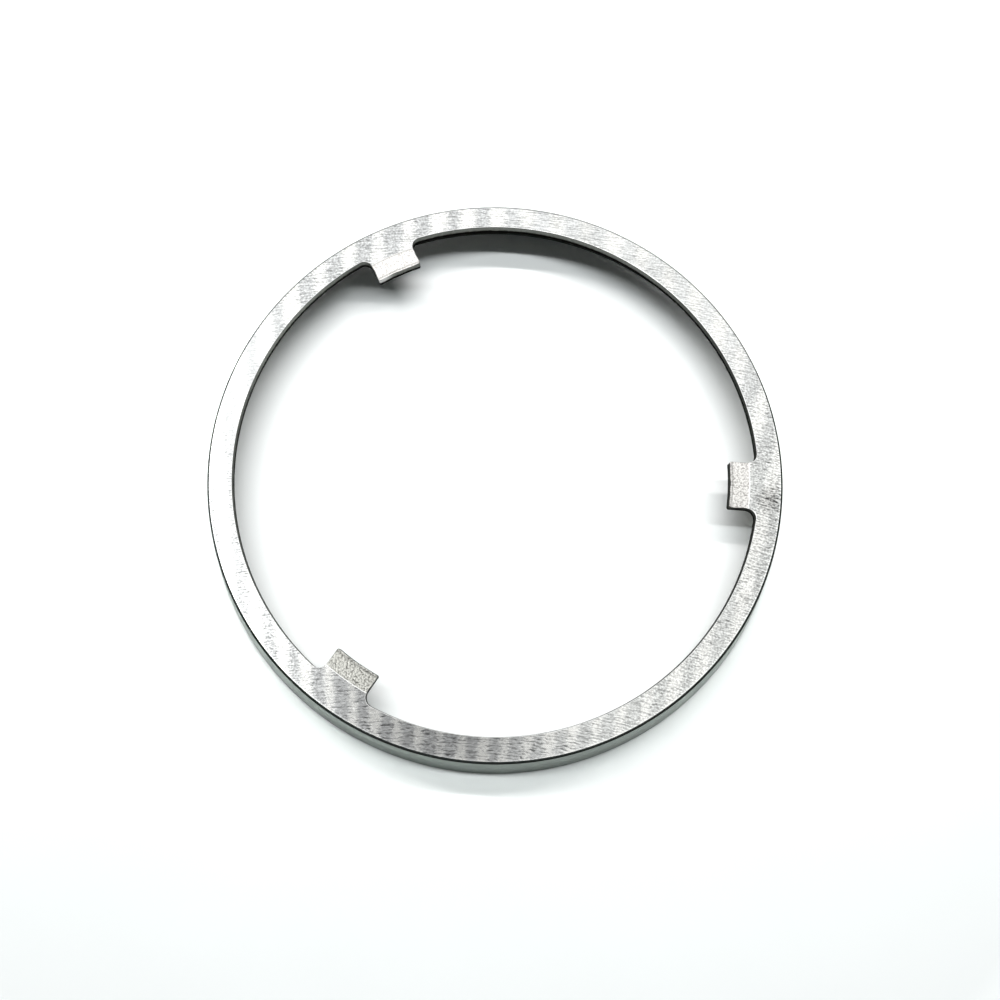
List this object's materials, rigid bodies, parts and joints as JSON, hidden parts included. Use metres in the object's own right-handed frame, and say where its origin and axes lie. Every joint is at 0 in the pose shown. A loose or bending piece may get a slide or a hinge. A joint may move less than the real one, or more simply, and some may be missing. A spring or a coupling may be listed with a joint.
{
  "type": "synchronizer ring",
  "caption": "Conical steel synchronizer ring with a flat ground flange at its small end and square tabs that point inwards to key it to a hub.",
  "frame": {"origin": "centre of the foot, on the ring's axis, in the plane that the ring stands on", "axes": "+Z along the ring's axis from the large end to the ground flange, +X through the middle of one tab"},
  "size_m": [0.0908, 0.0908, 0.0085],
  "materials": {
    "ground_steel": "top face ground bright with fine crossing scratches, tab tips left matt and sandy, smooth grey cone"
  },
  "bodies": {
    "root": {"synchronizer_ring": "ground_steel"}
  },
  "joints": []
}
